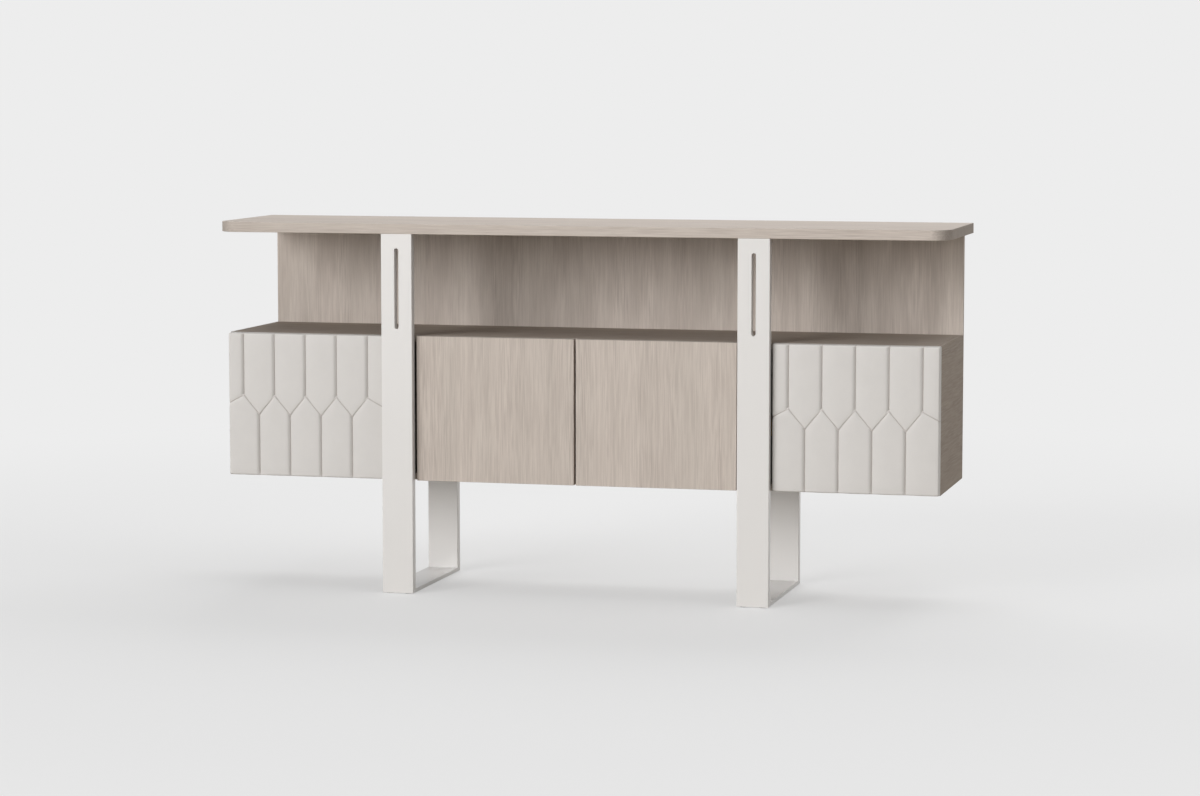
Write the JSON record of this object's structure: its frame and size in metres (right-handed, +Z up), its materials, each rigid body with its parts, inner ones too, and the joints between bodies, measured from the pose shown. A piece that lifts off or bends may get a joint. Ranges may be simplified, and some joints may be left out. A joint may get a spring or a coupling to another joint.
{
  "type": "low filing cabinet",
  "caption": "Long low filing cabinet on slotted metal leg frames: open niche under a round-cornered top, hinged wood doors between quilted leather file drawers.",
  "frame": {"origin": "on the floor, at the centre of the whole object's outline", "axes": "+X along the width to the viewer's right, the fronts face -Y, +Z up"},
  "size_m": [2.048, 0.45, 1.023],
  "materials": {
    "greyed_oak": "brushed oak veneer, greyed, matt lacquer",
    "beech": "bare beech",
    "birch_ply": "clear lacquered birch plywood",
    "leather": "light grey fine-grained leather, quilted",
    "painted_steel": "off-white satin powder coat",
    "black_steel": "black powder coat",
    "zinc_steel": "bright zinc plate",
    "grey_plastic": "moulded grey plastic",
    "clear_rubber": "translucent soft rubber"
  },
  "bodies": {
    "cabinet": {"top_board": "greyed_oak", "niche_back_panel": "greyed_oak", "carcass_top_panel": "greyed_oak", "carcass_bottom_panel": "greyed_oak", "lower_back_panel": "greyed_oak", "left_side_panel": "greyed_oak", "right_side_panel": "greyed_oak", "left_divider": "greyed_oak", "right_divider": "greyed_oak", "carcass_dowels": "beech", "slide_packings": "beech", "left_front_upright": "painted_steel", "left_slot_liner": "painted_steel", "left_rear_upright": "painted_steel", "left_floor_bar": "painted_steel", "right_front_upright": "painted_steel", "right_slot_liner": "painted_steel", "right_rear_upright": "painted_steel", "right_floor_bar": "painted_steel", "left_carrier_brackets": "black_steel", "right_carrier_brackets": "black_steel", "top_anchor_plates": "black_steel", "rear_anchor_plates": "black_steel", "niche_screws": "zinc_steel", "anchor_screws": "zinc_steel", "bracket_bolts": "zinc_steel", "bracket_screws": "zinc_steel", "hinge_leaves": "zinc_steel", "hinge_screws": "zinc_steel", "latch_screws": "zinc_steel", "slide_screws": "zinc_steel", "left_outer_slides": "zinc_steel", "right_outer_slides": "zinc_steel", "floor_glides": "grey_plastic", "latch_housings": "grey_plastic", "front_bumpers": "clear_rubber"},
    "left_drawer": {"left_front_board": "birch_ply", "left_leather_pad": "leather", "left_drawer_sides": "birch_ply", "left_drawer_back": "birch_ply", "left_drawer_bottom": "birch_ply", "left_file_rails": "zinc_steel", "left_inner_slides": "zinc_steel"},
    "left_slide_middles": {"left_middle_slides": "zinc_steel"},
    "left_door_wing": {"left_door": "greyed_oak", "left_hinge_pins": "zinc_steel"},
    "left_door_latch_pin": {"left_door_plunger": "grey_plastic"},
    "left_drawer_latch_pin": {"left_drawer_plunger": "grey_plastic"},
    "right_drawer": {"right_front_board": "birch_ply", "right_leather_pad": "leather", "right_drawer_sides": "birch_ply", "right_drawer_back": "birch_ply", "right_drawer_bottom": "birch_ply", "right_file_rails": "zinc_steel", "right_inner_slides": "zinc_steel"},
    "right_slide_middles": {"right_middle_slides": "zinc_steel"},
    "right_door_wing": {"right_door": "greyed_oak", "right_hinge_pins": "zinc_steel"},
    "right_door_latch_pin": {"right_door_plunger": "grey_plastic"},
    "right_drawer_latch_pin": {"right_drawer_plunger": "grey_plastic"}
  },
  "joints": [
    {"name": "left_drawer_slide", "type": "slide", "parent": "cabinet", "child": "left_drawer", "axis": [0, -1, 0], "range_m": [0, 0.35]},
    {"name": "left_slide_middles_slide", "type": "slide", "parent": "cabinet", "child": "left_slide_middles", "axis": [0, -1, 0], "range_m": [0, 0.175]},
    {"name": "left_door_hinge", "type": "hinge", "parent": "cabinet", "child": "left_door_wing", "pos_m": [-0.4425, -0.193, 0.514], "axis": [0, 0, -1], "range_deg": [0, 90]},
    {"name": "left_door_latch_press", "type": "slide", "parent": "cabinet", "child": "left_door_latch_pin", "axis": [0, 1, 0], "range_m": [0, 0.003], "stiffness_N_per_m": 300},
    {"name": "left_drawer_latch_press", "type": "slide", "parent": "cabinet", "child": "left_drawer_latch_pin", "axis": [0, 1, 0], "range_m": [0, 0.003], "stiffness_N_per_m": 300},
    {"name": "right_drawer_slide", "type": "slide", "parent": "cabinet", "child": "right_drawer", "axis": [0, -1, 0], "range_m": [0, 0.35]},
    {"name": "right_slide_middles_slide", "type": "slide", "parent": "cabinet", "child": "right_slide_middles", "axis": [0, -1, 0], "range_m": [0, 0.175]},
    {"name": "right_door_hinge", "type": "hinge", "parent": "cabinet", "child": "right_door_wing", "pos_m": [0.4425, -0.193, 0.514], "axis": [0, 0, 1], "range_deg": [0, 90]},
    {"name": "right_door_latch_press", "type": "slide", "parent": "cabinet", "child": "right_door_latch_pin", "axis": [0, 1, 0], "range_m": [0, 0.003], "stiffness_N_per_m": 300},
    {"name": "right_drawer_latch_press", "type": "slide", "parent": "cabinet", "child": "right_drawer_latch_pin", "axis": [0, 1, 0], "range_m": [0, 0.003], "stiffness_N_per_m": 300}
  ],
  "couplings": [
    {"joint": "left_slide_middles_slide", "follows": "left_drawer_slide", "ratio": 0.5},
    {"joint": "right_slide_middles_slide", "follows": "right_drawer_slide", "ratio": 0.5}
  ]
}
